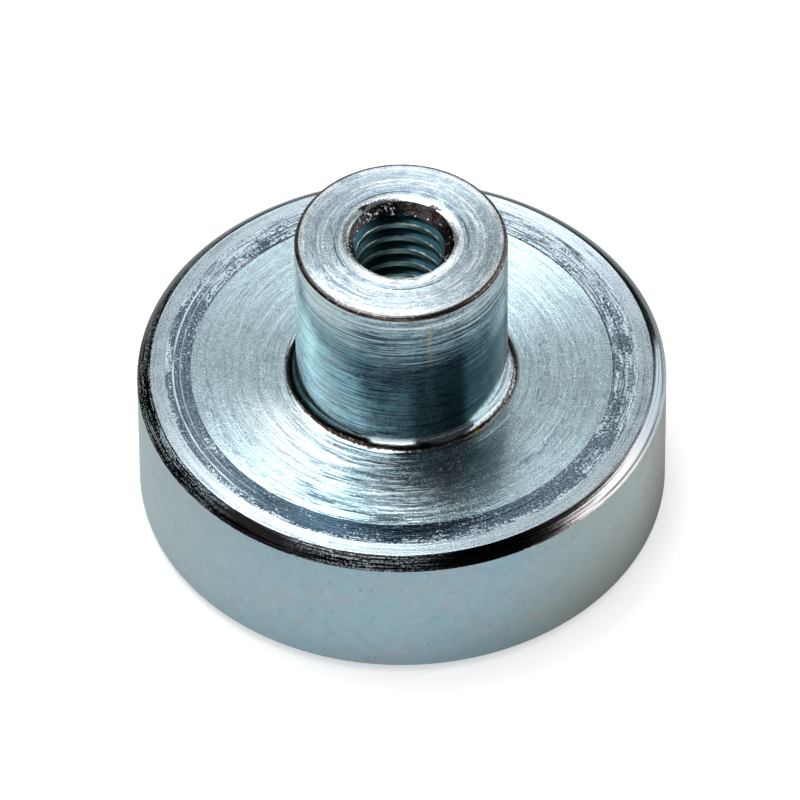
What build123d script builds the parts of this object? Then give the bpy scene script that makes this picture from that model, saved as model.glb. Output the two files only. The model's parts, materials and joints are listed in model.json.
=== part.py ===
from build123d import *
import math
import os

# A pot magnet with a tapped stem. Millimetres, with +Z up the stem.
# The origin is the centre of the holding face, in the plane of the steel rim.

# Steel pot and stem, turned from one bar
pot_diameter = 20.0
pot_height = 6.0
overall_height = 13.0
stem_diameter = 8.0
rim_width = 1.8          # steel ring around the pocket
rim_round = 0.5          # upper outside edge of the pot
foot_chamfer = 0.35      # lower outside edge of the pot
land_width = 2.0         # raised ring along the pot's upper edge
face_relief = 0.05       # how far the face inside that ring lies below it
stem_fillet = 0.45       # root of the stem
stem_edge_round = 0.15   # top edge of the stem

# Pocket under the pot, where the magnet is cast in
pocket_corner = 0.2      # bevel that the boring tool leaves in the pocket's upper corner
pocket_chamfer = 0.15    # broken edge at the pocket's mouth

# Tapped hole in the stem, M4 x 0.7, drilled to its tap size
thread_diameter = 4.0
thread_pitch = 0.7
mouth_clearance = 0.1    # the mouth's 90 degree countersink is wider than the thread by this
drill_point_angle = 118.0
web_under_drill = 0.8    # steel left between the drill point and the pocket

# Sintered magnet disc and the resin that holds it
magnet_thickness = 3.0
magnet_edge = 0.2        # broken edges of the disc
magnet_recess = 0.1      # the disc lies above the rim's plane, so that it is not struck
resin_gap = 1.0          # ring of resin between the disc and the steel
resin_film = 0.1         # film of resin between the disc and the pocket's floor
resin_recess = 0.25      # the cured ring shrinks back from the rim's plane

# Sizes that follow from those above
pot_radius = pot_diameter / 2
stem_radius = stem_diameter / 2
land_inner_radius = pot_radius - land_width
face_height = pot_height - face_relief
pocket_radius = pot_radius - rim_width
pocket_depth = magnet_recess + magnet_thickness + resin_film
magnet_radius = pocket_radius - resin_gap
drill_radius = (thread_diameter - thread_pitch) / 2
mouth_radius = (thread_diameter + mouth_clearance) / 2
mouth_depth = mouth_radius - drill_radius
drill_point_length = drill_radius / math.tan(math.radians(drill_point_angle / 2))
drill_tip_height = pocket_depth + web_under_drill
drill_shoulder_height = drill_tip_height + drill_point_length

SAME_PLACE = 0.001


def ring_at(part, radius, height):
    """The circular edge of a turned part that has this radius and lies at this height."""
    rings = part.edges().filter_by(GeomType.CIRCLE)
    same_radius = rings.filter_by(lambda ring: abs(ring.radius - radius) < SAME_PLACE)
    return same_radius.filter_by(lambda ring: abs(ring.arc_center.Z - height) < SAME_PLACE)


# Magnet disc: a plain sintered puck, magnetised through its thickness
with BuildPart() as magnet_disc:
    with BuildSketch(Plane.XY.offset(magnet_recess)):
        Circle(magnet_radius)
    extrude(amount=magnet_thickness)
    disc_rims = magnet_disc.edges().filter_by(GeomType.CIRCLE)
    chamfer(disc_rims, magnet_edge)

# Steel pot: the outside is one turned profile, then the pocket is bored and the stem drilled
with BuildPart() as steel_pot:
    with BuildSketch(Plane.XZ):
        with BuildLine():
            Polyline(
                (0, 0),
                (pot_radius, 0),
                (pot_radius, pot_height),
                (land_inner_radius, pot_height),
                (land_inner_radius, face_height),
                (stem_radius, face_height),
                (stem_radius, overall_height),
                (0, overall_height),
                close=True,
            )
        make_face()
    revolve(axis=Axis.Z)

    with BuildSketch(Plane.XY):
        Circle(pocket_radius)
    extrude(amount=pocket_depth, mode=Mode.SUBTRACT)

    with BuildSketch(Plane.XZ):
        with BuildLine():
            Polyline(
                (0, drill_tip_height),
                (drill_radius, drill_shoulder_height),
                (drill_radius, overall_height),
                (0, overall_height),
                close=True,
            )
        make_face()
    revolve(axis=Axis.Z, mode=Mode.SUBTRACT)

    fillet(ring_at(steel_pot, stem_radius, face_height), stem_fillet)
    fillet(ring_at(steel_pot, stem_radius, overall_height), stem_edge_round)
    fillet(ring_at(steel_pot, pot_radius, pot_height), rim_round)
    chamfer(ring_at(steel_pot, pocket_radius, pocket_depth), pocket_corner)
    chamfer(ring_at(steel_pot, drill_radius, overall_height), mouth_depth)
    chamfer(ring_at(steel_pot, pot_radius, 0), foot_chamfer)
    chamfer(ring_at(steel_pot, pocket_radius, 0), pocket_chamfer)

# Resin: poured round the disc, so it takes the pocket's shape outside and the disc's inside
with BuildPart() as resin_fill:
    with BuildSketch(Plane.XY.offset(resin_recess)):
        Circle(pocket_radius)
    extrude(amount=pocket_depth - resin_recess)
    chamfer(ring_at(resin_fill, pocket_radius, pocket_depth), pocket_corner)
    add(magnet_disc.part, mode=Mode.SUBTRACT)

os.makedirs("parts", exist_ok=True)
steel_pot.part.label = "steel_pot"
export_step(steel_pot.part, "parts/steel_pot.step")
magnet_disc.part.label = "magnet_disc"
export_step(magnet_disc.part, "parts/magnet_disc.step")
resin_fill.part.label = "resin_fill"
export_step(resin_fill.part, "parts/resin_fill.step")
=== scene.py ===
import bpy
import json
import math
from mathutils import Matrix, Vector


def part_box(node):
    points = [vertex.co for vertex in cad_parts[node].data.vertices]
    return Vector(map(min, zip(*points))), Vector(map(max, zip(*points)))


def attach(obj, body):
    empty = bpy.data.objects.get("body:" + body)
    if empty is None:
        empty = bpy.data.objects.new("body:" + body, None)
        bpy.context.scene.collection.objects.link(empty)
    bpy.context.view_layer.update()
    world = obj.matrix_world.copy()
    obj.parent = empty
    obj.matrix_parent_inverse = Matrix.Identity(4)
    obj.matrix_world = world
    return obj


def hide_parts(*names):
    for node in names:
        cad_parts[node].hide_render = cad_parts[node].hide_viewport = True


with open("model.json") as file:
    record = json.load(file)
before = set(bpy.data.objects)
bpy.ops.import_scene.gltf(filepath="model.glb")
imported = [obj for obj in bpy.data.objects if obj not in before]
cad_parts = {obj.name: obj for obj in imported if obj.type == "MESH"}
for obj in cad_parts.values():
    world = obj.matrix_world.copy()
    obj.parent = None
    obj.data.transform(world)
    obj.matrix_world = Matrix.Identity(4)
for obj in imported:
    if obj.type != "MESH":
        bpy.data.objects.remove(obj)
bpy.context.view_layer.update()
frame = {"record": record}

# ---------------------------------------------------------------------------------------------
# Steel pot with its stem. The real piece is turned from one bar of free-cutting steel, bored
# underneath for the magnet, drilled and tapped in the stem, then zinc plated and passivated
# blue. It is modelled as the lathe makes it: a blank whose end is cut back step by step.
# ---------------------------------------------------------------------------------------------
MM = 0.001
SIDES = 240
SAME_PLACE = 3e-6
mounts = {mount["name"]: mount for mount in frame["record"]["mounts"]}
pot_low, pot_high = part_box("steel_pot")
pocket_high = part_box("resin_fill")[1]
pot_radius = pot_high.x
pot_height = mounts["pot_top"]["pos_m"][2]
stem_top = pot_high.z
stem_radius = mounts["stem_outside"]["dims"]["r_mm"] * MM
drill_radius = mounts["tapped_hole"]["dims"]["r_mm"] * MM
drill_floor = mounts["tapped_hole"]["pos_m"][2] - mounts["tapped_hole"]["dims"]["length_mm"] * MM
drill_point_angle = 118
drill_point_length = drill_radius / math.tan(math.radians(drill_point_angle / 2))
pocket_radius = pocket_high.x
pocket_depth = pocket_high.z
pocket_chamfer = 0.15 * MM
foot_chamfer = 0.35 * MM
pot_crease = 14

rim_arcs = [(0.05 * MM, 6, 36), (1.1 * MM, 36, 66), (0.2 * MM, 66, 90)]
rim_arc_steps = [4, 24, 5]
rim_ridges = 6
rim_ridge_height = 0.0011 * MM
bright_land_radius = 8.95 * MM
face_radius = 8.0 * MM
step_width = 0.03 * MM
face_relief = 0.05 * MM
stem_fillet = 0.45 * MM
fillet_steps = 10
stem_edge_round = 0.16 * MM
edge_steps = 6
mouth_lip_radius = 2.35 * MM
mouth_lip_arc = (0.9 * MM, 90, 115)
mouth_lip_steps = 8
mouth_shift = 0.12 * MM

# Its shallow grooves, each with its radius, width and depth
rim_dip = (9.32 * MM, 0.14 * MM, 0.004 * MM)
scribed_ring = (8.37 * MM, 0.03 * MM, 0.012 * MM)
root_groove = (4.72 * MM, 0.03 * MM, 0.015 * MM)
end_groove = (2.5 * MM, 0.05 * MM, 0.018 * MM)


def object_mode():
    """Leaves edit mode and deselects everything."""
    if bpy.context.mode != "OBJECT":
        bpy.ops.object.mode_set(mode="OBJECT")
    bpy.ops.object.select_all(action="DESELECT")


def edit(piece):
    """Goes into edit mode on this piece alone, with nothing selected."""
    object_mode()
    piece.select_set(True)
    bpy.context.view_layer.objects.active = piece
    bpy.ops.object.mode_set(mode="EDIT")
    bpy.ops.mesh.select_all(action="DESELECT")


def pick_end(piece, height):
    """Selects the flat end of a turned piece that lies at this height."""
    edit(piece)
    bpy.ops.mesh.select_mode(type="FACE")
    bpy.ops.object.mode_set(mode="OBJECT")
    for face in piece.data.polygons:
        level = all(abs(piece.data.vertices[i].co.z - height) < SAME_PLACE for i in face.vertices)
        face.select = level and len(face.vertices) == SIDES
    bpy.ops.object.mode_set(mode="EDIT")


def pick_ring(piece, radius, height):
    """Selects the ring of edges that lies at this radius and height."""
    edit(piece)
    bpy.ops.mesh.select_mode(type="EDGE")
    bpy.ops.object.mode_set(mode="OBJECT")
    ring = set()
    for vertex in piece.data.vertices:
        off_radius = abs(math.hypot(vertex.co.x, vertex.co.y) - radius)
        if off_radius < SAME_PLACE and abs(vertex.co.z - height) < SAME_PLACE:
            ring.add(vertex.index)
    for edge in piece.data.edges:
        edge.select = edge.vertices[0] in ring and edge.vertices[1] in ring
    bpy.ops.object.mode_set(mode="EDIT")


def smooth(piece, degrees):
    """Shades a piece smooth, except where its faces meet at more than this angle."""
    object_mode()
    piece.select_set(True)
    bpy.context.view_layer.objects.active = piece
    bpy.ops.object.shade_smooth_by_angle(angle=math.radians(degrees))


def bar_blank(name, radius, low, high):
    """A plain cylinder standing on the axis between two heights."""
    object_mode()
    place = (0, 0, (low + high) / 2)
    bpy.ops.mesh.primitive_cylinder_add(vertices=SIDES, radius=radius, depth=high - low, location=place)
    piece = bpy.context.object
    piece.name = name
    piece.data.name = name
    bpy.ops.object.transform_apply(location=True)
    return piece


def turn(radius, height, *cuts, facing=1):
    """Cuts the selected end on from one radius and height to the next; it faces up (1) or down (-1)."""
    for next_radius, next_height in cuts:
        rise = next_height - height
        if abs(next_radius - radius) < SAME_PLACE / 100:
            bpy.ops.mesh.extrude_region_move(TRANSFORM_OT_translate={"value": (0, 0, rise)})
        else:
            bpy.ops.mesh.inset(thickness=radius - next_radius, depth=facing * rise)
        radius, height = next_radius, next_height
    return radius, height


def groove(radius, height, middle, width, depth):
    """Turns on to a groove and through it, down to its middle and up to its far edge."""
    return turn(
        radius, height,
        (middle + width / 2, height), (middle, height - depth), (middle - width / 2, height),
    )


def arc(radius, height, size, start, end, steps):
    """Goes on round an arc, between two angles in degrees that its outward normal makes with the floor."""
    for step in range(1, steps + 1):
        angle = math.radians(start + (end - start) * step / steps)
        yield (
            radius + size * (math.cos(angle) - math.cos(math.radians(start))),
            height + size * (math.sin(angle) - math.sin(math.radians(start))),
        )


def arc_run(size, start, end):
    """How far in and how far up an arc goes."""
    start, end = math.radians(start), math.radians(end)
    return size * (math.cos(start) - math.cos(end)), size * (math.sin(end) - math.sin(start))


lip_run, lip_rise = arc_run(*mouth_lip_arc)
mouth_radius = mouth_lip_radius - lip_run
mouth_height = stem_top + lip_rise
mouth_depth = mouth_radius - drill_radius
rim_runs = [arc_run(*part) for part in rim_arcs]
rim_inner_radius = pot_radius - sum(run[0] for run in rim_runs)
rim_edge_height = pot_height - sum(run[1] for run in rim_runs)
steel_pot = bar_blank("turned_steel_pot", pot_radius, pot_low.z, rim_edge_height)

pick_ring(steel_pot, pot_radius, pot_low.z)
bpy.ops.mesh.bevel(offset=foot_chamfer, segments=1, affect="EDGES", clamp_overlap=False)

pick_end(steel_pot, rim_edge_height)
at = (pot_radius, rim_edge_height)
for (size, start, end), steps in zip(rim_arcs, rim_arc_steps):
    cuts = list(arc(*at, size, start, end, steps))
    if steps == max(rim_arc_steps):
        for step, (radius, height) in enumerate(cuts):
            lift = rim_ridge_height * math.sin((step + 1) / steps * rim_ridges * math.tau)
            cuts[step] = (radius + lift / 2, height + lift)
    at = turn(*at, *cuts)
at = groove(*at, *rim_dip)
at = turn(*at, (bright_land_radius, pot_height))
at = groove(*at, *scribed_ring)
face_height = pot_height - face_relief
at = turn(*at, (face_radius, pot_height), (face_radius - step_width, face_height))
at = groove(*at, *root_groove)
at = turn(*at, (stem_radius + stem_fillet, face_height))
at = turn(*at, *arc(*at, -stem_fillet, 90, 0, fillet_steps))
at = turn(*at, (stem_radius, stem_top - stem_edge_round))
at = turn(*at, *arc(*at, stem_edge_round, 0, 90, edge_steps))
at = groove(*at, *end_groove)
at = turn(*at, (mouth_lip_radius, stem_top))
at = turn(*at, *arc(*at, *mouth_lip_arc, mouth_lip_steps))
turn(*at, (drill_radius, mouth_height - mouth_depth), (drill_radius, drill_floor))
bpy.ops.mesh.extrude_region_move(TRANSFORM_OT_translate={"value": (0, 0, -drill_point_length)})
bpy.ops.mesh.merge(type="CENTER")

# The countersink ran a little off the axis, towards the back
object_mode()
for vertex in steel_pot.data.vertices:
    off_axis = math.hypot(vertex.co.x, vertex.co.y)
    if vertex.co.z > mouth_height - SAME_PLACE and off_axis < mouth_lip_radius:
        inwards = (mouth_lip_radius - off_axis) / (mouth_lip_radius - mouth_radius)
        vertex.co.y += mouth_shift * inwards

# The pocket under the pot
pick_end(steel_pot, pot_low.z)
at = (pot_radius - foot_chamfer, pot_low.z)
at = turn(*at, (pocket_radius + pocket_chamfer, pot_low.z), (pocket_radius, pocket_chamfer), facing=-1)
turn(*at, (pocket_radius, pocket_depth), facing=-1)
object_mode()

# The tap: one M4 thread groove, swept up the bore as a screw
thread_pitch = 0.7 * MM
thread_radius = 2.0 * MM
thread_turns = 11
groove_root = thread_pitch / 8
flank_angle = math.radians(30)
crest_round = 0.08 * MM
crest_normals = (60, 48, 36, 24, 8)
tap_overlap = 0.03 * MM
thread_steps = 72
tap_phase = 0.25
tap_lead = 0.27 * MM
tap_start = stem_top - (thread_turns - tap_phase) * thread_pitch - tap_lead

# Its section, from the root of the groove in to the crest: a flank, then a small rounding
crest_middle = drill_radius + crest_round
crest_width = groove_root / 2 + (thread_radius - crest_middle) * math.tan(flank_angle)
crest_width += crest_round / math.cos(flank_angle)
half_section = [(thread_radius, groove_root / 2)]
for tilt in crest_normals:
    rise = crest_round * math.cos(math.radians(tilt))
    run = crest_round * math.sin(math.radians(tilt))
    half_section.append((crest_middle - rise, crest_width - run))
half_section.append((drill_radius - tap_overlap, crest_width + tap_overlap / 2))
section = half_section + [(radius, -height) for radius, height in reversed(half_section)]

bpy.ops.mesh.primitive_circle_add(vertices=len(section), radius=1, fill_type="NOTHING", location=(0, 0, 0))
tap = bpy.context.object
for corner, (radius, height) in zip(tap.data.vertices, section):
    corner.co = (radius, 0, tap_start + height)
screw = tap.modifiers.new("thread", "SCREW")
screw.axis = "Z"
screw.angle = math.tau
screw.screw_offset = thread_pitch
screw.iterations = thread_turns
screw.steps = thread_steps
screw.render_steps = thread_steps
screw.use_merge_vertices = False
bpy.ops.object.modifier_apply(modifier=screw.name)
edit(tap)
bpy.ops.mesh.select_mode(type="EDGE")
bpy.ops.mesh.select_non_manifold(extend=False)
bpy.ops.mesh.fill()
bpy.ops.mesh.select_all(action="SELECT")
bpy.ops.mesh.normals_make_consistent(inside=False)
object_mode()

cut = steel_pot.modifiers.new("tap", "BOOLEAN")
cut.operation = "DIFFERENCE"
cut.object = tap
cut.solver = "EXACT"
bpy.context.view_layer.objects.active = steel_pot
steel_pot.select_set(True)
bpy.ops.object.modifier_apply(modifier=cut.name)
bpy.data.objects.remove(tap)
smooth(steel_pot, pot_crease)


# The zinc: what the lathe, the barrel and the passivation leave on each part of the surface, and the light,
# shade and reflections painted into some parts
def add(tree, kind, inputs=None, **settings):
    """Adds one shader node; an input is a plain value or another node's output."""
    node = tree.nodes.new(kind)
    for name, value in settings.items():
        setattr(node, name, value)
    for name, value in (inputs or {}).items():
        if isinstance(value, bpy.types.NodeSocket):
            tree.links.new(value, node.inputs[name])
        else:
            node.inputs[name].default_value = value
    return node


def calc(tree, operation, *values):
    """One Math node's result."""
    return add(tree, "ShaderNodeMath", dict(enumerate(values)), operation=operation).outputs[0]


def times(tree, product, *factors):
    """The product of two or more values."""
    for factor in factors:
        product = calc(tree, "MULTIPLY", product, factor)
    return product


def apart(tree, value, mark):
    """How far a value is from a mark, either way."""
    return calc(tree, "ABSOLUTE", calc(tree, "SUBTRACT", value, mark))


def shift_by(tree, value, ragged, amount):
    """Moves a value up and down by a noise, so that a limit set on it runs ragged."""
    return calc(tree, "MULTIPLY_ADD", calc(tree, "SUBTRACT", ragged, 0.5), amount, value)


def ramp(tree, value, start, end, low=0.0, high=1.0):
    """Spreads a value's range from start to end over low to high, and holds it there beyond."""
    inputs = {"Value": value, "From Min": start, "From Max": end, "To Min": low, "To Max": high}
    return add(tree, "ShaderNodeMapRange", inputs).outputs["Result"]


def noise(tree, place, scale, detail=2.0, roughness=0.6):
    """A soft noise between 0 and 1 with its middle at 0.5."""
    inputs = {"Vector": place, "Scale": scale, "Detail": detail, "Roughness": roughness}
    return add(tree, "ShaderNodeTexNoise", inputs).outputs[0]


def patches(tree, rise, share, limit, start, end):
    """Where a noise rises over a limit, which sinks as the share grows; soft from start to end."""
    limit = calc(tree, "MULTIPLY_ADD", share, -0.5, limit)
    return ramp(tree, calc(tree, "SUBTRACT", rise, limit), start, end)


def line_noise(tree, around, across, seed, detail, roughness=0.7):
    """A noise drawn out into lines round the axis."""
    streaks = use(tree, lathe_place, Around=around, Across=across, Seed=seed)["Streaks"]
    return noise(tree, streaks, 1.0, detail, roughness)


def blend(tree, factor, under, over):
    """Lays one colour over another by a factor."""
    return add(tree, "ShaderNodeMix", {0: factor, 6: under, 7: over}, data_type="RGBA").outputs[2]


def lay(tree, surface, *layers):
    """Lays colours over a surface one after another, each a mask and a colour."""
    for mask, colour in layers:
        over = colour if isinstance(colour, bpy.types.NodeSocket) else (*colour, 1)
        surface = blend(tree, mask, surface, over)
    return surface


def new_effect(name, inputs, outputs):
    """Starts a node group; an input is a number or a colour. Returns it with its two ends."""
    tree = bpy.data.node_groups.new(name, "ShaderNodeTree")
    for label, value in inputs.items():
        kind = "NodeSocketColor" if isinstance(value, tuple) else "NodeSocketFloat"
        socket = tree.interface.new_socket(label, in_out="INPUT", socket_type=kind)
        socket.default_value = value
    for label, kind in outputs.items():
        tree.interface.new_socket(label, in_out="OUTPUT", socket_type="NodeSocket" + kind)
    return tree, tree.nodes.new("NodeGroupInput").outputs, tree.nodes.new("NodeGroupOutput").inputs


def use(tree, effect, **inputs):
    """Places an effect in a material and returns its outputs."""
    labelled = {name.replace("_", " "): value for name, value in inputs.items()}
    return add(tree, "ShaderNodeGroup", labelled, node_tree=effect).outputs


# Place on the lathe, in millimetres. Streaks is a vector that changes slowly round the axis and
# fast across the tool marks, along a path outwards over the faces and down the walls. Place is
# moved aside by the seed. Right, Back and Height are the plain distances from the middle of the foot.
lathe_place, given, result = new_effect(
    "lathe_place",
    {"Around": 0.5, "Across": 12.0, "Seed": 0.0},
    {"Streaks": "Vector", "Place": "Vector", "Radius": "Float",
     "Right": "Float", "Back": "Float", "Height": "Float"},
)
tree = lathe_place
place = add(tree, "ShaderNodeTexCoord").outputs["Object"]
place = add(tree, "ShaderNodeVectorMath", {0: place, 3: 1 / MM}, operation="SCALE").outputs[0]
axes = add(tree, "ShaderNodeSeparateXYZ", {0: place}).outputs
flat_place = add(tree, "ShaderNodeVectorMath", {0: place, 1: (1, 1, 0)}, operation="MULTIPLY").outputs[0]
radius = add(tree, "ShaderNodeVectorMath", {0: flat_place}, operation="LENGTH").outputs["Value"]
around = add(tree, "ShaderNodeVectorMath", {0: flat_place, 3: given["Around"]}, operation="SCALE").outputs[0]
path = calc(tree, "SUBTRACT", radius, axes[2])
across = calc(tree, "MULTIPLY_ADD", path, given["Across"], given["Seed"])
across = add(tree, "ShaderNodeCombineXYZ", {2: across}).outputs[0]
streaks = add(tree, "ShaderNodeVectorMath", {0: around, 1: across}, operation="ADD").outputs[0]
shift = add(tree, "ShaderNodeCombineXYZ", {0: given["Seed"], 1: given["Seed"]}).outputs[0]
shifted_place = add(tree, "ShaderNodeVectorMath", {0: place, 1: shift}, operation="ADD").outputs[0]
tree.links.new(streaks, result["Streaks"])
tree.links.new(shifted_place, result["Place"])
tree.links.new(radius, result["Radius"])
for label, axis in zip(("Right", "Back", "Height"), axes):
    tree.links.new(axis, result[label])

# Turned zinc: bright metal with lines round the axis, dark pits gathered along some of the
# rings, and pale dull frost in fine grains
turned_zinc, given, result = new_effect(
    "turned_zinc",
    {"Metal": (0.7, 0.8, 0.85, 1), "Pit": (0.1, 0.15, 0.2, 1), "Frost": (0.8, 0.9, 0.95, 1),
     "Around": 0.8, "Across": 9.0, "Grain": 9.0, "Line Share": 0.3, "Pit Share": 0.3, "Frost Share": 0.3,
     "Polished": 0.2, "Frosted": 0.6, "Seed": 0.0},
    {"Color": "Color", "Roughness": "Float", "Lines": "Float", "Grains": "Float", "Waves": "Float"},
)
tree = turned_zinc
at = use(tree, lathe_place, Around=given["Around"], Across=given["Across"], Seed=given["Seed"])
lines = noise(tree, at["Streaks"], 1.0, 2.0, 0.65)
short = times(tree, given["Around"], 2.5)
at = use(tree, lathe_place, Around=short, Across=given["Across"], Seed=calc(tree, "ADD", given["Seed"], 31.0))
dashes = noise(tree, at["Streaks"], 1.0, 2.0, 0.7)
at = use(tree, lathe_place, Around=0.12, Across=2.4, Seed=given["Seed"])
waves = noise(tree, at["Streaks"], 1.0, 1.0, 0.5)
grains = noise(tree, at["Place"], given["Grain"], 2.0, 0.7)
clouds = noise(tree, at["Place"], 0.9, 3.0, 0.7)

lined = times(tree, ramp(tree, lines, 0.55, 0.35), given["Line Share"])
metal = blend(tree, lined, given["Metal"], given["Pit"])
pit_rise = shift_by(tree, shift_by(tree, dashes, waves, 0.7), grains, 0.5)
pits = patches(tree, pit_rise, given["Pit Share"], 0.78, -0.02, 0.05)
frost_rise = shift_by(tree, grains, clouds, 0.5)
frost = patches(tree, frost_rise, given["Frost Share"], 0.78, -0.02, 0.05)
metal = blend(tree, frost, metal, given["Frost"])
metal = blend(tree, pits, metal, given["Pit"])
dullness = calc(tree, "MAXIMUM", frost, times(tree, pits, 0.5))
tree.links.new(metal, result["Color"])
tree.links.new(ramp(tree, dullness, 0, 1, given["Polished"], given["Frosted"]), result["Roughness"])
tree.links.new(calc(tree, "MULTIPLY_ADD", dashes, 0.6, lines), result["Lines"])
tree.links.new(calc(tree, "SUBTRACT", grains, times(tree, pits, 0.6)), result["Grains"])
tree.links.new(waves, result["Waves"])

# Flakes: places with a sharp ragged edge, where the surface has been rubbed or covered
rubbed_flakes, given, result = new_effect(
    "rubbed_flakes",
    {"Size": 0.8, "Share": 0.4, "Seed": 0.0},
    {"Flake": "Float"},
)
tree = rubbed_flakes
at = use(tree, lathe_place, Around=calc(tree, "DIVIDE", 0.6, given["Size"]),
         Across=calc(tree, "DIVIDE", 1.0, given["Size"]), Seed=given["Seed"])
broad = noise(tree, at["Streaks"], 1.0, 5.0, 0.72)
fine = noise(tree, at["Place"], 9.0, 1.0)
flake = patches(tree, shift_by(tree, broad, fine, 0.6), given["Share"], 0.75, -0.02, 0.03)
tree.links.new(flake, result["Flake"])

# Scratches: short, thin, bent lines that cross the turned lines
scratches, given, result = new_effect(
    "scratches",
    {"Size": 1.0, "Width": 0.02, "Share": 0.3, "Seed": 0.0},
    {"Scratch": "Float"},
)
tree = scratches
at = use(tree, lathe_place, Seed=given["Seed"])
scale = calc(tree, "DIVIDE", 0.5, given["Size"])
bend = noise(tree, at["Place"], scale, 1.0)
line = ramp(tree, apart(tree, bend, 0.5), times(tree, given["Width"], scale), 0)
where = noise(tree, at["Place"], calc(tree, "DIVIDE", 0.9, given["Size"]), 2.0)
here = patches(tree, where, given["Share"], 0.75, 0.0, 0.04)
tree.links.new(times(tree, line, here), result["Scratch"])


def new_metal(name, anisotropy):
    """Starts a metal that shines round the axis. Returns it, its nodes and its shader's inputs."""
    material = bpy.data.materials.new(name)
    material.use_nodes = True
    tree = material.node_tree
    shader = tree.nodes["Principled BSDF"]
    shader.inputs["Metallic"].default_value = 1
    shader.inputs["Anisotropic"].default_value = anisotropy
    shader.inputs["Anisotropic Rotation"].default_value = 0.25
    tangent = add(tree, "ShaderNodeTangent", direction_type="RADIAL", axis="Z").outputs[0]
    tree.links.new(tangent, shader.inputs["Tangent"])
    return material, tree, shader.inputs


def cover(tree, shader, colour, roughness, *marks):
    """Gives a shader its colour, its roughness and its marks, each a height and a depth in millimetres."""
    tree.links.new(colour, shader["Base Color"])
    tree.links.new(roughness, shader["Roughness"])
    normal = {}
    for height, depth in marks:
        inputs = {"Height": height, "Distance": depth * MM, **normal}
        normal = {"Normal": add(tree, "ShaderNodeBump", inputs).outputs[0]}
    tree.links.new(normal["Normal"], shader["Normal"])


finishes = {}


def zinc_finish(region, name, anisotropy, **zinc):
    """Starts the zinc finish of one region of the pot, on turned zinc with these values."""
    finishes[region], tree, shader = new_metal(name, anisotropy)
    return tree, shader, use(tree, turned_zinc, **zinc)


# The drawn side: dull grey-blue, cloudy, with faint brown stains, pits and bright specks; painted greyer
# towards the sides as sheen, and painted darker to the right, low down and at the far right as shade
tree, shader, zinc = zinc_finish(
    "side", "zinc_drawn_side", 0.0,
    Metal=(0.37, 0.56, 0.64, 1), Pit=(0.17, 0.25, 0.29, 1), Frost=(0.52, 0.71, 0.79, 1),
    Around=2.4, Across=5.0, Grain=8.0, Line_Share=0.08, Pit_Share=0.03, Frost_Share=0.22,
    Polished=0.46, Frosted=0.55, Seed=5.0,
)
at = use(tree, lathe_place, Seed=5.0)
clouds = noise(tree, at["Place"], 0.5, 4.0, 0.65)
mottle = noise(tree, at["Place"], 2.0, 4.0, 0.7)
# Painted sheen: greyer towards the left and right sides, where the wall turns away
thin = ramp(tree, calc(tree, "ABSOLUTE", at["Right"]), 4.0, 10.0, 0, 0.6)
# Painted shade: darker low down towards the right
low = times(tree, ramp(tree, at["Height"], 4.5, 0.5), ramp(tree, at["Right"], 0.0, 8.0, 0, 0.7))
# Painted shade: darker and browner at the far right
painted_far_right_shade = ramp(tree, shift_by(tree, at["Right"], clouds, 1.6), 8.9, 10.1, 0, 0.8)
veins = noise(tree, at["Place"], 0.7, 4.0, 0.65)
stain = times(tree, ramp(tree, apart(tree, veins, 0.5), 0.06, 0.0, 0, 0.45), ramp(tree, clouds, 0.42, 0.62))
grit = noise(tree, at["Place"], 7.0, 2.0, 0.6)
bright_grit = ramp(tree, grit, 0.74, 0.79, 0, ramp(tree, clouds, 0.40, 0.60, 0.2, 0.9))
dark_grit = times(tree, ramp(tree, grit, 0.36, 0.28), ramp(tree, at["Height"], 4.6, 5.5, 0.02, 0.5))
surface = lay(
    tree, zinc["Color"],
    (ramp(tree, clouds, 0.35, 0.65, 0, 0.7), (0.42, 0.57, 0.64)),
    (ramp(tree, mottle, 0.50, 0.64, 0, 0.45), (0.31, 0.46, 0.54)),
    (ramp(tree, mottle, 0.46, 0.34, 0, 0.45), (0.47, 0.62, 0.68)),
    (thin, (0.53, 0.60, 0.59)),
    # Painted shade: greyer and darker towards the right
    (ramp(tree, at["Right"], 3.5, 7.0, 0, 0.45), (0.42, 0.47, 0.45)),
    (low, (0.27, 0.31, 0.28)),
    (painted_far_right_shade, (0.25, 0.22, 0.17)),
    (stain, (0.50, 0.47, 0.44)),
    (bright_grit, (0.85, 0.92, 0.95)),
    (dark_grit, (0.20, 0.15, 0.12)),
)
cover(tree, shader, surface, zinc["Roughness"], (zinc["Lines"], 0.003), (zinc["Grains"], 0.004))

# The rim's flat: bright, with long fine lines and a little frost
tree, shader, zinc = zinc_finish(
    "rim", "zinc_rim", 0.7,
    Metal=(0.59, 0.72, 0.79, 1), Pit=(0.11, 0.15, 0.20, 1), Frost=(0.58, 0.68, 0.75, 1),
    Around=0.25, Across=9.0, Grain=15.0, Line_Share=0.4, Pit_Share=0.10, Frost_Share=0.5,
    Polished=0.26, Frosted=0.46, Seed=1.0,
)
cover(tree, shader, zinc["Color"], zinc["Roughness"],
      (zinc["Waves"], 0.012), (zinc["Lines"], 0.007), (zinc["Grains"], 0.003))

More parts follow.
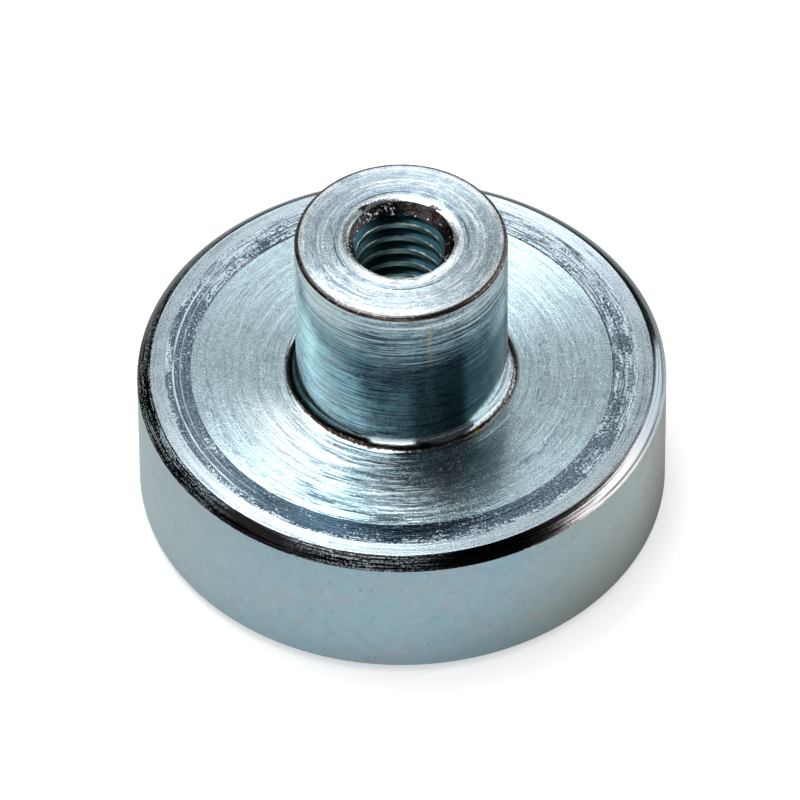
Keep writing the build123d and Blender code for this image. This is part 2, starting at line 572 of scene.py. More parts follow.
# The rim's rounding: burnished by the form tool and painted nearly black for the dark reflection it shows,
# darkest on its upper half, with a painted highlight on the right and painted a little lighter at the back;
# scored on one side where it chattered, and ragged where it meets the drawn side
# Its metal and pit colours are painted nearly black, as the rounding's dark reflection
tree, shader, zinc = zinc_finish(
    "round", "zinc_rim_round", 0.3,
    Metal=(0.040, 0.037, 0.040, 1), Pit=(0.012, 0.010, 0.010, 1), Frost=(0.4, 0.42, 0.45, 1),
    Around=0.4, Across=9.0, Grain=8.0, Line_Share=0.35, Pit_Share=0.12, Frost_Share=0.02,
    Polished=0.11, Frosted=0.3, Seed=2.0,
)
at = use(tree, lathe_place, Around=3.0, Across=8.0, Seed=8.0)
edge = ramp(tree, at["Height"], rim_edge_height / MM + 0.13, rim_edge_height / MM)
nicks = times(tree, noise(tree, at["Streaks"], 1.0, 4.0, 0.7), edge)
brown = ramp(tree, noise(tree, at["Place"], 0.3, 2.0), 0.42, 0.6, 0, 0.35)
# Painted dark reflection, darkest over the upper half of the rounding
painted_dark_upper = ramp(tree, at["Height"], pot_height / MM - 0.30, pot_height / MM - 0.14, 0, 0.85)
lines = line_noise(tree, 0.5, 17.0, 18.0, 3.0, 0.65)
gritty = shift_by(tree, lines, noise(tree, at["Place"], 12.0, 2.0, 0.6), 0.6)
scored = ramp(tree, apart(tree, at["Right"], -1.2), 3.4, 1.4, 0, 0.8)
scored = calc(tree, "MAXIMUM", ramp(tree, at["Right"], -6.2, -8.2), scored)
scores = times(tree, ramp(tree, gritty, 0.50, 0.66), scored)
# Painted highlight on the right of the rounding, greyer at the far right, crossed by dark broad lines
painted_right_highlight = ramp(tree, shift_by(tree, at["Right"], lines, 4.0), 4.6, 7.0)
painted_highlight_tone = blend(tree, ramp(tree, at["Right"], 8.4, 9.4), (0.93, 0.90, 0.89, 1), (0.50, 0.60, 0.66, 1))
broad = ramp(tree, line_noise(tree, 0.1, 6.5, 8.0, 2.0, 0.55), 0.50, 0.42, 0, 0.85)
surface = lay(
    tree, zinc["Color"],
    (brown, (0.07, 0.035, 0.025)),
    (painted_dark_upper, (0.010, 0.009, 0.010)),
    (painted_right_highlight, painted_highlight_tone),
    (times(tree, broad, painted_right_highlight), (0.12, 0.13, 0.15)),
    (scores, (0.46, 0.58, 0.64)),
    # Painted reflection: a little lighter at the back
    (ramp(tree, at["Back"], 1.0, 4.0), (0.085, 0.115, 0.115)),
    (ramp(tree, nicks, 0.50, 0.58), (0.86, 0.84, 0.82)),
)
rough = calc(tree, "MAXIMUM", ramp(tree, nicks, 0.48, 0.56), scores)
cover(tree, shader, surface, ramp(tree, rough, 0, 1, zinc["Roughness"], 0.55),
      (lines, 0.004), (zinc["Grains"], 0.003), (scores, 0.004), (nicks, 0.03))


def ring(tree, at, radius, width):
    """A thin ring round the axis, with soft edges."""
    return ramp(tree, apart(tree, at["Radius"], radius), width, width * 0.4)


# The land inside the rim: burnished dark in long streaks, painted darker still at the front as dark
# reflection, with the frost left standing in flakes that thicken outwards and to the back, and a few bright
# arcs on one side
tree, shader, zinc = zinc_finish(
    "land", "zinc_burnished_land", 0.3,
    Metal=(0.17, 0.25, 0.32, 1), Pit=(0.03, 0.05, 0.08, 1), Frost=(0.46, 0.56, 0.62, 1),
    Around=0.5, Across=12.0, Grain=9.0, Line_Share=0.65, Pit_Share=0.36, Frost_Share=0.14,
    Polished=0.12, Frosted=0.36, Seed=3.0,
)
at = use(tree, lathe_place, Around=0.7, Across=13.0, Seed=14.0)
outer = ramp(tree, at["Radius"], 8.6, 8.95, 0.0, ramp(tree, at["Right"], -8.0, -5.5, 0.2, 0.5))
share = calc(tree, "ADD", outer, ramp(tree, at["Back"], -6, 5, 0.20, 0.52))
share = calc(tree, "ADD", share, ramp(tree, at["Right"], 1.0, 7.0, 0.0, 0.12))
flakes = use(tree, rubbed_flakes, Size=1.0, Share=share, Seed=3.0)["Flake"]
specks = use(tree, rubbed_flakes, Size=0.22, Share=0.14, Seed=7.0)["Flake"]
grit = noise(tree, at["Place"], 11.0, 3.0, 0.7)
dusty = ramp(tree, at["Right"], -2.0, 6.0, 0.15, 0.8)
dusty = calc(tree, "MAXIMUM", dusty, ramp(tree, at["Right"], -5.0, -7.5, 0.15, 0.65))
dust = times(tree, ramp(tree, grit, 0.42, 0.66), dusty)
broken = ramp(tree, noise(tree, at["Streaks"], 1.0, 3.0, 0.7), 0.38, 0.56, 0.1, 1.0)
flakes = times(tree, calc(tree, "MAXIMUM", flakes, specks), broken)
flakes = times(tree, flakes, ramp(tree, grit, 0.34, 0.52, 0.25, 1.0))
flakes = calc(tree, "MAXIMUM", flakes, times(tree, dust, 0.6))
arc_here = times(tree, ramp(tree, at["Right"], -5.0, -6.8), ramp(tree, broken, 0.1, 0.8, 0.4, 1))
for arc_radius, arc_width in ((scribed_ring[0] / MM, 0.03), (8.64, 0.05)):
    flakes = calc(tree, "MAXIMUM", flakes, times(tree, ring(tree, at, arc_radius, arc_width), arc_here))
# Painted dark reflection at the front of the land
front = ramp(tree, at["Back"], -4.5, -7.5, 0, 0.6)
surface = lay(tree, zinc["Color"], (front, (0.04, 0.09, 0.14)), (flakes, (0.62, 0.74, 0.81)))
cover(tree, shader, surface, ramp(tree, flakes, 0, 1, zinc["Roughness"], 0.42),
      (zinc["Lines"], 0.006), (zinc["Grains"], 0.006))


def towards(tree, at, azimuth):
    """The cosine of the angle round the axis between a place and this azimuth, which is 0 in front."""
    way = (math.sin(math.radians(azimuth)), -math.cos(math.radians(azimuth)), 0)
    along = add(tree, "ShaderNodeVectorMath", {0: at["Place"], 1: way}, operation="DOT_PRODUCT")
    return calc(tree, "DIVIDE", along.outputs["Value"], at["Radius"])


# The turned face round the stem: pale and clouded, painted white at the front left as a highlight, and torn
# into dark and pale arcs in front
tree, shader, zinc = zinc_finish(
    "face", "zinc_turned_face", 0.75,
    Metal=(0.69, 0.90, 0.98, 1), Pit=(0.27, 0.39, 0.46, 1), Frost=(0.62, 0.80, 0.88, 1),
    Around=0.8, Across=10.0, Grain=14.0, Line_Share=0.26, Pit_Share=0.22, Frost_Share=0.30,
    Polished=0.22, Frosted=0.40, Seed=4.0,
)
at = use(tree, lathe_place, Seed=0.0)
specks = ramp(tree, noise(tree, at["Place"], 6.0, 2.0, 0.6), 0.70, 0.75)
clouds = ramp(tree, noise(tree, at["Place"], 1.1, 6.0, 0.75), 0.50, 0.64, 0, 0.35)
# Painted highlight: the bright fan at the front left, strongest near the stem
painted_fan_highlight = ramp(tree, towards(tree, at, -40), 0.80, 0.97, 0, ramp(tree, at["Radius"], 5.4, 7.0, 0.72, 0.0))
in_front = ramp(tree, towards(tree, at, -15), 0.89, 0.97)
arcs = line_noise(tree, 0.5, 7.5, 31.0, 4.0, 0.75)
dark_arcs = times(tree, ramp(tree, arcs, 0.53, 0.60, 0, 0.9), in_front)
pale_arcs = times(tree, ramp(tree, arcs, 0.45, 0.40, 0, 0.75), in_front)
pale = calc(tree, "MAXIMUM", specks, pale_arcs)
surface = lay(
    tree, zinc["Color"],
    (clouds, (0.40, 0.50, 0.58)),
    (painted_fan_highlight, (0.92, 0.97, 1.0)),
    (dark_arcs, (0.05, 0.09, 0.12)),
    (pale, (0.95, 1.0, 1.0)),
)
swell = times(tree, zinc["Waves"], ramp(tree, at["Radius"], 7.0, 5.0, 1.0, 1.5))
cover(tree, shader, surface, ramp(tree, pale, 0, 1, zinc["Roughness"], 0.60),
      (swell, 0.026), (zinc["Lines"], 0.009), (zinc["Grains"], 0.004))

# The stem's wall: scored below the top where the tool chattered and smooth further down; painted pale on the
# left as reflection, painted dark as shade low on the right, lit at the upper right edge, with a painted
# highlight (a flare) low at the right and a thin yellow run down the front
tree, shader, zinc = zinc_finish(
    "stem", "zinc_turned_stem", 0.25,
    Metal=(0.30, 0.52, 0.60, 1), Pit=(0.02, 0.05, 0.08, 1), Frost=(0.5, 0.62, 0.68, 1),
    Around=0.5, Across=11.0, Grain=9.0, Line_Share=0.85, Pit_Share=0.26, Frost_Share=0.12,
    Polished=0.11, Frosted=0.3, Seed=5.0,
)
at = use(tree, lathe_place, Around=0.45, Across=14.0, Seed=9.0)
scored = ramp(tree, at["Height"], 8.8, 11.3, 0.12, 1.0)
scored = calc(tree, "MAXIMUM", scored, ramp(tree, at["Right"], 0.8, -2.4, 0.12, 0.55))
scored = times(tree, scored, ramp(tree, at["Right"], -2.8, -1.0, 0.4, 1.0))
scores = noise(tree, at["Streaks"], 1.0, 2.0, 0.6)
dark_scores = times(tree, ramp(tree, scores, 0.57, 0.63), scored)
pale_scores = times(tree, ramp(tree, scores, 0.37, 0.32), scored)
# Painted reflection: paler on the left
pale = times(tree, ramp(tree, at["Right"], -1.5, -3.8), ramp(tree, at["Height"], 7.2, 10.2, 0.35, 1.0))
# Painted shade: dark low on the right
shaded = times(tree, ramp(tree, at["Right"], 1.0, 2.6), ramp(tree, at["Height"], 11.2, 9.4, 0, 0.92))
# Painted light: the upper right edge
lit = times(tree, ramp(tree, at["Right"], 3.2, 3.95), ramp(tree, at["Height"], 9.6, 10.8))
# Painted highlight: a pale flare low at the right, just above the root
flare_top = ramp(tree, at["Right"], 2.2, 3.6, 6.25, 7.05)
flare = ramp(tree, calc(tree, "SUBTRACT", at["Height"], flare_top), 0.14, -0.14)
flare = times(tree, flare, ramp(tree, at["Right"], 2.2, 2.8, 0, 0.9))
long_lines = line_noise(tree, 0.11, 7.0, 13.0, 3.0)
top = ramp(tree, at["Height"], 9.8, 11.6, 0.1, ramp(tree, at["Right"], -2.8, -1.0, 0.45, 0.85))
grain = ramp(tree, noise(tree, at["Place"], 8.0, 3.0, 0.75), 0.53, 0.66)
grain = times(tree, grain, ramp(tree, at["Right"], -2.2, 0.6, 0.15, 0.75))
near_edge = ramp(tree, at["Height"], 12.35, 12.85)
specks = ramp(tree, times(tree, noise(tree, at["Place"], 5.0, 3.0, 0.7), near_edge), 0.50, 0.56)
drip = ramp(tree, apart(tree, at["Right"], 1.06), 0.10, 0.03)
drip = times(tree, drip, ramp(tree, noise(tree, at["Place"], 2.0, 3.0), 0.40, 0.6, 0, 0.5))
drip = times(tree, drip, ramp(tree, at["Back"], 0.5, -0.5))
surface = lay(
    tree, zinc["Color"],
    (ramp(tree, at["Height"], 9.5, 12.0, 0, 0.3), (0.46, 0.60, 0.65)),
    (pale, (0.70, 0.87, 0.85)),
    (shaded, (0.02, 0.085, 0.095)),
    (lit, (0.80, 0.93, 0.93)),
    (flare, (0.84, 0.97, 0.99)),
    (times(tree, pale_scores, 0.8), (0.72, 0.86, 0.92)),
    (times(tree, dark_scores, 0.9), (0.02, 0.04, 0.06)),
    (times(tree, ramp(tree, long_lines, 0.56, 0.63), top), (0.04, 0.07, 0.09)),
    (times(tree, ramp(tree, long_lines, 0.45, 0.39), top), (0.78, 0.88, 0.92)),
    (grain, (0.03, 0.06, 0.07)),
    (specks, (0.92, 0.86, 0.86)),
    (drip, (0.50, 0.46, 0.24)),
)
dull = calc(tree, "MAXIMUM", pale_scores, specks)
cover(tree, shader, surface, ramp(tree, dull, 0, 1, zinc["Roughness"], 0.42),
      (times(tree, zinc["Lines"], scored), 0.008), (times(tree, long_lines, top), 0.012),
      (zinc["Grains"], 0.002))

# The root of the stem: the tool's nose has left its fillet. The fillet and the ring round it are painted
# bright as a highlight except on the left, a brown-black crescent of painted dark reflection lies in the
# fillet, the left is painted teal as reflection, and one yellow drop has settled in it
tree, shader, zinc = zinc_finish(
    "root", "zinc_stem_root", 0.2,
    Metal=(0.58, 0.72, 0.77, 1), Pit=(0.07, 0.05, 0.04, 1), Frost=(0.62, 0.72, 0.76, 1),
    Around=0.6, Across=8.0, Grain=7.0, Line_Share=0.6, Pit_Share=0.26, Frost_Share=0.16,
    Polished=0.12, Frosted=0.35, Seed=11.0,
)
at = use(tree, lathe_place, Seed=23.0)
ragged = shift_by(tree, at["Height"], noise(tree, at["Place"], 6.0, 3.0, 0.7), 0.16)
above = calc(tree, "SUBTRACT", ragged, face_height / MM)
reach = ramp(tree, at["Right"], 0.6, 1.4, 0.26, 0.10)
reach = calc(tree, "MINIMUM", reach, ramp(tree, at["Right"], -3.2, -1.8, 0.15, 0.26))
beside_gap = ramp(tree, apart(tree, at["Right"], -0.3), 0.75, 1.0)
beside_gap = calc(tree, "MAXIMUM", beside_gap, ramp(tree, above, 0.16, 0.10))
# Painted dark reflection: a brown-black crescent in the fillet, lower near the middle front
painted_dark_crescent = ramp(tree, calc(tree, "SUBTRACT", above, reach), 0.04, -0.04)
painted_dark_crescent = times(tree, painted_dark_crescent, ramp(tree, above, 0.02, 0.05), beside_gap)
left = ramp(tree, at["Right"], -1.4, -2.2, 0, 0.9)
# Painted reflection: teal on the left, a little above the face
painted_teal_left = times(tree, left, ramp(tree, above, 0.10, 0.16), ramp(tree, above, 0.34, 0.28))
grit = noise(tree, at["Place"], 8.0, 2.0, 0.7)
drop_place = (2.86, -3.22, 5.98)
drop = {0: use(tree, lathe_place, Seed=0.0)["Place"], 1: drop_place}
drop = add(tree, "ShaderNodeVectorMath", drop, operation="DISTANCE").outputs["Value"]
surface = lay(
    tree, zinc["Color"],
    # Painted highlight: the fillet and ring bright, except on the left
    (ramp(tree, at["Right"], -1.4, -1.0, 0, 0.7), (0.88, 0.95, 0.97)),
    (painted_teal_left, (0.22, 0.50, 0.56)),
    (painted_dark_crescent, (0.05, 0.032, 0.026)),
    (ramp(tree, grit, 0.60, 0.68, 0, 0.8), (0.42, 0.56, 0.58)),
    (ramp(tree, drop, 0.14, 0.07), (0.80, 0.62, 0.10)),
)
cover(tree, shader, surface, zinc["Roughness"], (zinc["Lines"], 0.006), (zinc["Grains"], 0.003))

# The stem's sharp edge: dark brown with pale specks
tree, shader, zinc = zinc_finish(
    "edge", "zinc_stem_edge", 0.1,
    Metal=(0.16, 0.14, 0.13, 1), Pit=(0.05, 0.04, 0.04, 1), Frost=(0.85, 0.80, 0.80, 1),
    Around=1.0, Across=8.0, Grain=8.0, Line_Share=0.3, Pit_Share=0.3, Frost_Share=0.22,
    Polished=0.25, Frosted=0.5, Seed=21.0,
)
cover(tree, shader, zinc["Color"], zinc["Roughness"], (zinc["Lines"], 0.006), (zinc["Grains"], 0.01))

# The stem's end: faced in arcs, with soft blue-grey clouds and small pits, painted lighter towards the front
# right and darker towards the back left as light and shade
tree, shader, zinc = zinc_finish(
    "end", "zinc_stem_end", 0.6,
    Metal=(0.70, 0.86, 0.93, 1), Pit=(0.22, 0.29, 0.36, 1), Frost=(0.58, 0.71, 0.79, 1),
    Around=1.0, Across=8.5, Grain=13.0, Line_Share=0.45, Pit_Share=0.42, Frost_Share=0.36,
    Polished=0.22, Frosted=0.42, Seed=6.0,
)
at = use(tree, lathe_place, Around=1.2, Across=2.2, Seed=16.0)
clouds = noise(tree, at["Streaks"], 1.0, 5.0, 0.7)
arcs = line_noise(tree, 0.22, 6.0, 26.0, 3.0)
mottle = noise(tree, at["Place"], 2.6, 5.0, 0.75)
often = ramp(tree, mottle, 0.40, 0.60, 0.15, 0.9)
specks = ramp(tree, noise(tree, at["Place"], 10.0, 2.0, 0.7), 0.60, 0.68, 0, often)
# Painted light and shade: lighter towards the front right, darker towards the back left
painted_light_slant = calc(tree, "SUBTRACT", at["Right"], at["Back"])
surface = lay(
    tree, zinc["Color"],
    (ramp(tree, clouds, 0.45, 0.66, 0, 0.50), (0.34, 0.45, 0.53)),
    (ramp(tree, arcs, 0.60, 0.66, 0, 0.5), (0.90, 0.97, 1.0)),
    (ramp(tree, arcs, 0.42, 0.35, 0, 0.7), (0.22, 0.29, 0.36)),
    (ramp(tree, mottle, 0.50, 0.62, 0, 0.50), (0.30, 0.37, 0.44)),
    (specks, (0.16, 0.20, 0.25)),
    (ramp(tree, painted_light_slant, 1.5, 5.5, 0, 0.3), (0.86, 0.96, 1.0)),
    (ramp(tree, painted_light_slant, -0.5, -5.0, 0.05, 0.45), (0.36, 0.45, 0.52)),
)
worn = ramp(tree, clouds, 0.58, 0.44, 0.05, 0.7)
for arc_radius, arc_width in ((3.72, 0.12), (3.12, 0.06), (2.93, 0.05)):
    bright_arc = times(tree, ring(tree, at, arc_radius, arc_width), worn)
    surface = blend(tree, bright_arc, surface, (0.93, 0.98, 1.0, 1))
cover(tree, shader, surface, zinc["Roughness"],
      (zinc["Waves"], 0.045), (zinc["Lines"], 0.008), (zinc["Grains"], 0.005))

# The rounded lip of the hole: rubbed bright by the countersink
tree, shader, zinc = zinc_finish(
    "lip", "zinc_hole_lip", 0.5,
    Metal=(0.82, 0.92, 0.96, 1), Pit=(0.36, 0.42, 0.46, 1), Frost=(0.66, 0.78, 0.83, 1),
    Around=1.0, Across=8.0, Grain=12.0, Line_Share=0.4, Pit_Share=0.22, Frost_Share=0.35,
    Polished=0.24, Frosted=0.42, Seed=12.0,
)
at = use(tree, lathe_place, Around=1.6, Across=6.0, Seed=32.0)
torn = times(tree, noise(tree, at["Streaks"], 1.0, 4.0, 0.7), ramp(tree, at["Back"], 0.6, 1.6))
surface = blend(tree, ramp(tree, torn, 0.52, 0.56), zinc["Color"], (0.08, 0.07, 0.07, 1))
cover(tree, shader, surface, zinc["Roughness"], (zinc["Lines"], 0.010), (zinc["Grains"], 0.006))

# The countersink: dark brown, with bright specks
tree, shader, zinc = zinc_finish(
    "mouth", "zinc_countersink", 0.1,
    Metal=(0.055, 0.055, 0.058, 1), Pit=(0.03, 0.017, 0.010, 1), Frost=(0.95, 0.97, 0.97, 1),
    Around=1.6, Across=5.0, Grain=7.0, Line_Share=0.5, Pit_Share=0.46, Frost_Share=0.34,
    Polished=0.2, Frosted=0.55, Seed=13.0,
)
cover(tree, shader, zinc["Color"], zinc["Roughness"], (zinc["Lines"], 0.008), (zinc["Grains"], 0.016))

# The tapped hole: smooth flanks painted dark as shade in the bore, darker still towards the crests, with a
# thin painted highlight along each crest
# Its metal is painted dark, as shade in the bore
tree, shader, zinc = zinc_finish(
    "hole", "zinc_tapped_hole", 0.2,
    Metal=(0.06, 0.22, 0.26, 1), Pit=(0.02, 0.05, 0.06, 1), Frost=(0.16, 0.36, 0.38, 1),
    Around=1.2, Across=4.0, Grain=6.0, Line_Share=0.35, Pit_Share=0.12, Frost_Share=0.06,
    Polished=0.28, Frosted=0.42, Seed=7.0,
)
at = use(tree, lathe_place, Seed=28.0)
ragged = calc(tree, "MULTIPLY_ADD", noise(tree, at["Place"], 5.0, 2.0), 0.08, at["Radius"])
surface = lay(
    tree, zinc["Color"],
    # Painted shade on the flanks towards the crests, and a painted highlight line along each crest
    (ramp(tree, ragged, 1.96, 1.78), (0.03, 0.08, 0.11)),
    (ramp(tree, ragged, 1.74, 1.71), (0.70, 0.86, 0.84)),
)
cover(tree, shader, surface, zinc["Roughness"], (zinc["Lines"], 0.005), (zinc["Grains"], 0.004))

for material in finishes.values():
    steel_pot.data.materials.append(material)
order = {name: index for index, name in enumerate(finishes)}

# Each face takes the finish of its region. The foot is turned like the face round the stem.
for face in steel_pot.data.polygons:
    radius = math.hypot(face.center.x, face.center.y)
    height = face.center.z
    if height < pot_low.z + SAME_PLACE:
        region = "face"
    elif height < pocket_depth + SAME_PLACE:
        region = "side"
    elif height < rim_edge_height and radius > thread_radius + SAME_PLACE:
        region = "side"
    elif radius > rim_inner_radius + rim_runs[-1][0] / 2:
        region = "round"
    elif radius > bright_land_radius:
        region = "rim"
    elif radius > face_radius - step_width:
        region = "land"
    elif radius > stem_radius + stem_fillet:
        region = "face"
    elif radius > stem_radius + SAME_PLACE:
        region = "root"
    elif radius > stem_radius - SAME_PLACE * 10 and height < stem_top - stem_edge_round:
        region = "root" if height < face_height + stem_fillet else "stem"
    elif radius > stem_radius - stem_edge_round:
        region = "edge"
    elif radius > mouth_lip_radius:
        region = "end"
    elif height > mouth_height:
        region = "lip"
    elif height > mouth_height - mouth_depth:
        region = "mouth"
    else:
        region = "hole"
    face.material_index = order[region]
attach(steel_pot, "root")
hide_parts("steel_pot")

# ---------------------------------------------------------------------------------------------
# Magnet. A sintered disc with broken edges, nickel plated in a barrel, which leaves it silvery
# with a faint orange peel and short stray scratches. It is set a little inside the foot's plane.
# ---------------------------------------------------------------------------------------------
magnet_low, magnet_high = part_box("magnet_disc")
magnet_radius = magnet_high.x
magnet_edge = 0.2 * MM
magnet_edge_steps = 4
magnet_crease = 30
magnet = bar_blank("nickel_plated_magnet", magnet_radius, magnet_low.z, magnet_high.z)
for height in (magnet_low.z, magnet_high.z):
    pick_ring(magnet, magnet_radius, height)
    bpy.ops.mesh.bevel(offset=magnet_edge, segments=magnet_edge_steps, affect="EDGES", clamp_overlap=False)
smooth(magnet, magnet_crease)

nickel, tree, shader = new_metal("barrel_plated_nickel", 0.0)
at = use(tree, lathe_place, Seed=4.0)
peel = noise(tree, at["Place"], 2.2, 3.0, 0.6)
worn = noise(tree, at["Place"], 0.35, 4.0, 0.6)
surface = blend(tree, ramp(tree, worn, 0.35, 0.65), (0.62, 0.58, 0.52, 1), (0.70, 0.67, 0.62, 1))
scratch_depth = 0
for size, share, seed in ((0.9, 0.42, 2.0), (1.7, 0.40, 5.0), (3.0, 0.36, 9.0)):
    scratch = use(tree, scratches, Size=size, Width=0.03, Share=share, Seed=seed)["Scratch"]
    surface = blend(tree, times(tree, scratch, 0.5), surface, (0.30, 0.28, 0.26, 1))
    scratch_depth = calc(tree, "SUBTRACT", scratch_depth, scratch)
pin_holes = ramp(tree, noise(tree, at["Place"], 5.0, 1.0), 0.74, 0.78)
surface = blend(tree, pin_holes, surface, (0.08, 0.07, 0.06, 1))
cover(tree, shader, surface, ramp(tree, worn, 0.3, 0.7, 0.16, 0.30),
      (peel, 0.004), (scratch_depth, 0.003), (pin_holes, -0.01))
magnet.data.materials.append(nickel)
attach(magnet, "root")
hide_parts("magnet_disc")

# ---------------------------------------------------------------------------------------------
# Resin. Black casting resin poured round the magnet and under it. It has climbed a little up
# both walls before it set, so the ring round the magnet is hollow, glossy and holds small bubbles.
# ---------------------------------------------------------------------------------------------
resin_low, resin_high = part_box("resin_fill")
meniscus_depth = 0.14 * MM
meniscus_steps = 12
resin_crease = 40
resin = bar_blank("cast_resin_ring", resin_high.x, resin_low.z, resin_high.z)
pick_end(resin, resin_low.z)
at = (resin_high.x, resin_low.z)
for step in range(1, meniscus_steps + 1):
    along = step / meniscus_steps
    hollow = 1 - (2 * along - 1) ** 4  # steep at both walls and nearly flat between them
    radius = resin_high.x + along * (magnet_radius - resin_high.x)
    at = turn(*at, (radius, resin_low.z + meniscus_depth * hollow), facing=-1)
turn(*at, (magnet_radius, magnet_high.z), facing=-1)
smooth(resin, resin_crease)

black_resin, tree, shader = new_metal("black_casting_resin", 0.0)
shader["Metallic"].default_value = 0
shader["IOR"].default_value = 1.54
at = use(tree, lathe_place, Around=0.6, Across=1.0, Seed=6.0)
dust = ramp(tree, noise(tree, at["Place"], 6.0, 2.0), 0.66, 0.74)
bubbles = add(tree, "ShaderNodeTexVoronoi", {"Vector": at["Place"], "Scale": 1.4, "Randomness": 1.0})
bubble = ramp(tree, bubbles.outputs["Distance"], 0.16, 0.08)
ripple = noise(tree, at["Streaks"], 1.0, 2.0)
surface = blend(tree, dust, (0.018, 0.018, 0.020, 1), (0.09, 0.085, 0.08, 1))
surface = blend(tree, ramp(tree, ripple, 0.4, 0.7, 0, 0.5), surface, (0.035, 0.03, 0.028, 1))
glossy = ramp(tree, ripple, 0.3, 0.7, 0.16, 0.28)
cover(tree, shader, surface, ramp(tree, dust, 0, 1, glossy, 0.6),
      (ripple, 0.02), (bubble, 0.02), (dust, 0.004))
resin.data.materials.append(black_resin)
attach(resin, "root")
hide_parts("resin_fill")

# ---------------------------------------------------------------------------------------------
# Studio: a pale paper floor, softboxes, and dark cards that give the metal its dark reflections.
# The room is seen white, as the background and in the metal, and lights the part a little less.
# ---------------------------------------------------------------------------------------------
floor_radius = 0.9
floor_gap = 0.05 * MM
floor_grey = 0.72
floor_seen_glow = 0.45
room_light = 0.75
card_grey = 0.02


def plain_paint(name, grey, roughness, glow=0.0):
    """A grey paint without gloss, which may glow white."""
    paint = bpy.data.materials.new(name)
    paint.use_nodes = True
    shader = paint.node_tree.nodes["Principled BSDF"].inputs
    shader["Base Color"].default_value = (grey, grey, grey, 1)
    shader["Roughness"].default_value = roughness
    shader["Specular IOR Level"].default_value = 0.0
    shader["Emission Color"].default_value = (1, 1, 1, 1)
    shader["Emission Strength"].default_value = glow
    return paint, paint.node_tree, shader


object_mode()
bpy.ops.mesh.primitive_circle_add(
    vertices=96, radius=floor_radius, fill_type="NGON", location=(0, 0, -floor_gap),
)
floor = bpy.context.object
floor.name = "studio_floor"
paper, tree, shader = plain_paint("white_paper", floor_grey, 0.8)
rays = add(tree, "ShaderNodeLightPath").outputs
tree.links.new(times(tree, rays["Is Camera Ray"], floor_seen_glow), shader["Emission Strength"])
floor.data.materials.append(paper)

world = bpy.data.worlds.new("studio_room")
bpy.context.scene.world = world
world.use_nodes = True
tree = world.node_tree
background = tree.nodes["Background"]
rays = add(tree, "ShaderNodeLightPath").outputs
seen = calc(tree, "MAXIMUM", rays["Is Glossy Ray"], rays["Is Transmission Ray"])
seen = calc(tree, "MAXIMUM", rays["Is Camera Ray"], seen)
background.inputs["Color"].default_value = (1, 1, 1, 1)
tree.links.new(ramp(tree, seen, 0, 1, room_light, 1.0), background.inputs["Strength"])


def trim_card(card, azimuths, elevations):
    """Deletes a card's faces outside these azimuths and elevations in degrees. Azimuth 0 is in front."""
    edit(card)
    bpy.ops.mesh.select_mode(type="FACE")
    bpy.ops.object.mode_set(mode="OBJECT")
    for face in card.data.polygons:
        way = face.center.normalized()
        azimuth = math.degrees(math.atan2(way.x, -way.y))
        elevation = math.degrees(math.asin(way.z))
        inside_azimuth = (azimuth - azimuths[0]) % 360 <= azimuths[1] - azimuths[0]
        face.select = not (inside_azimuth and elevations[0] <= elevation <= elevations[1])
    bpy.ops.object.mode_set(mode="EDIT")
    bpy.ops.mesh.delete(type="FACE")
    object_mode()


def hang_card(card, paint, lamp):
    """Paints a card. Only a lamp's card lights the part, and the others are just mirrored in it."""
    card.data.materials.append(paint)
    card.visible_camera = False
    if not lamp:
        paint.cycles.emission_sampling = "NONE"
        card.visible_diffuse = False
        card.visible_shadow = False


def bent_card(name, azimuths, elevations, distance, glow, lamp=False):
    """A card bent round the table, between these azimuths and elevations."""
    object_mode()
    bpy.ops.mesh.primitive_uv_sphere_add(segments=72, ring_count=36, radius=distance, location=(0, 0, 0))
    card = bpy.context.object
    card.name = name
    trim_card(card, azimuths, elevations)
    hang_card(card, plain_paint(name, card_grey, 1.0, glow)[0], lamp)


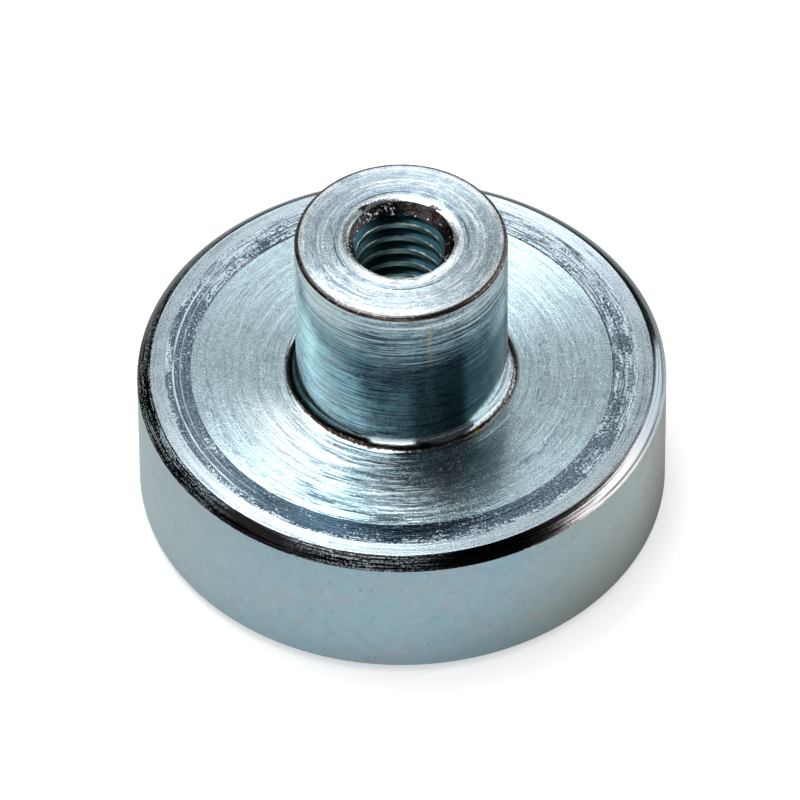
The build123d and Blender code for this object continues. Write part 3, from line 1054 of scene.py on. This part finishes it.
room_distance = 0.64
card_distance = 0.60
lamp_distance = 0.55
bent_card("black_card", (-180, 180), (0, 90), room_distance, 0.015)
bent_card("low_back_card", (165, 202), (20, 41), card_distance, 1.9)
bent_card("dim_back_card", (160, 200), (41, 50), card_distance, 0.2)
bent_card("right_back_card", (115, 173), (51, 64), card_distance, 0.2)
bent_card("left_card", (-125, -40), (40, 60), card_distance, 1.2)
bent_card("small_front_card", (-30, 10), (0, 25), card_distance, 1.5)
bent_card("zenith_softbox", (-180, 0), (79, 90), lamp_distance, 3.0, lamp=True)
bent_card("top_softbox", (-112, -20), (64, 79), lamp_distance, 3.4, lamp=True)
bent_card("key_softbox", (-187, -112), (64, 79), lamp_distance, 8.1, lamp=True)
bent_card("middle_softbox", (-187, -112), (54, 64), lamp_distance, 3.5, lamp=True)
bent_card("low_softbox", (-187, -112), (50, 54), lamp_distance, 1.3, lamp=True)
bent_card("side_softbox", (70, 140), (5, 45), lamp_distance, 1.1, lamp=True)

# A black card that lies on the floor in front, clear of the part
low_card_radius = 0.5
low_card_hole = 0.028
low_card_height = 0.2 * MM
object_mode()
bpy.ops.mesh.primitive_circle_add(
    vertices=72, radius=low_card_radius, fill_type="NGON", location=(0, 0, low_card_height),
)
low_card = bpy.context.object
low_card.name = "low_black_card"
bpy.ops.object.mode_set(mode="EDIT")
bpy.ops.mesh.inset(thickness=low_card_radius - low_card_hole)
bpy.ops.mesh.delete(type="FACE")
trim_card(low_card, (-131, 90), (0, 90))
hang_card(low_card, bpy.data.materials["black_card"], lamp=False)

# ---------------------------------------------------------------------------------------------
# Camera: a long lens that looks down on the part from in front
# ---------------------------------------------------------------------------------------------
camera_elevation = math.radians(47.687)
camera_distance = 0.47033
camera_target = Vector((-0.0732 * MM, 0, 4.15 * MM))
camera_roll = math.radians(-0.336)
camera_data = bpy.data.cameras.new("camera")
camera_data.sensor_width = 36
camera_data.lens = 559.0
camera_data.clip_start = 0.05
camera_data.clip_end = 3
camera = bpy.data.objects.new("camera", camera_data)
bpy.context.scene.collection.objects.link(camera)
backwards = Vector((0, -math.cos(camera_elevation), math.sin(camera_elevation)))
camera.matrix_world = (
    Matrix.Translation(camera_target + backwards * camera_distance)
    @ Matrix.Rotation(math.pi / 2 - camera_elevation, 4, "X")
    @ Matrix.Rotation(camera_roll, 4, "Z")
)
bpy.context.scene.camera = camera
bpy.context.scene.view_settings.view_transform = "Standard"
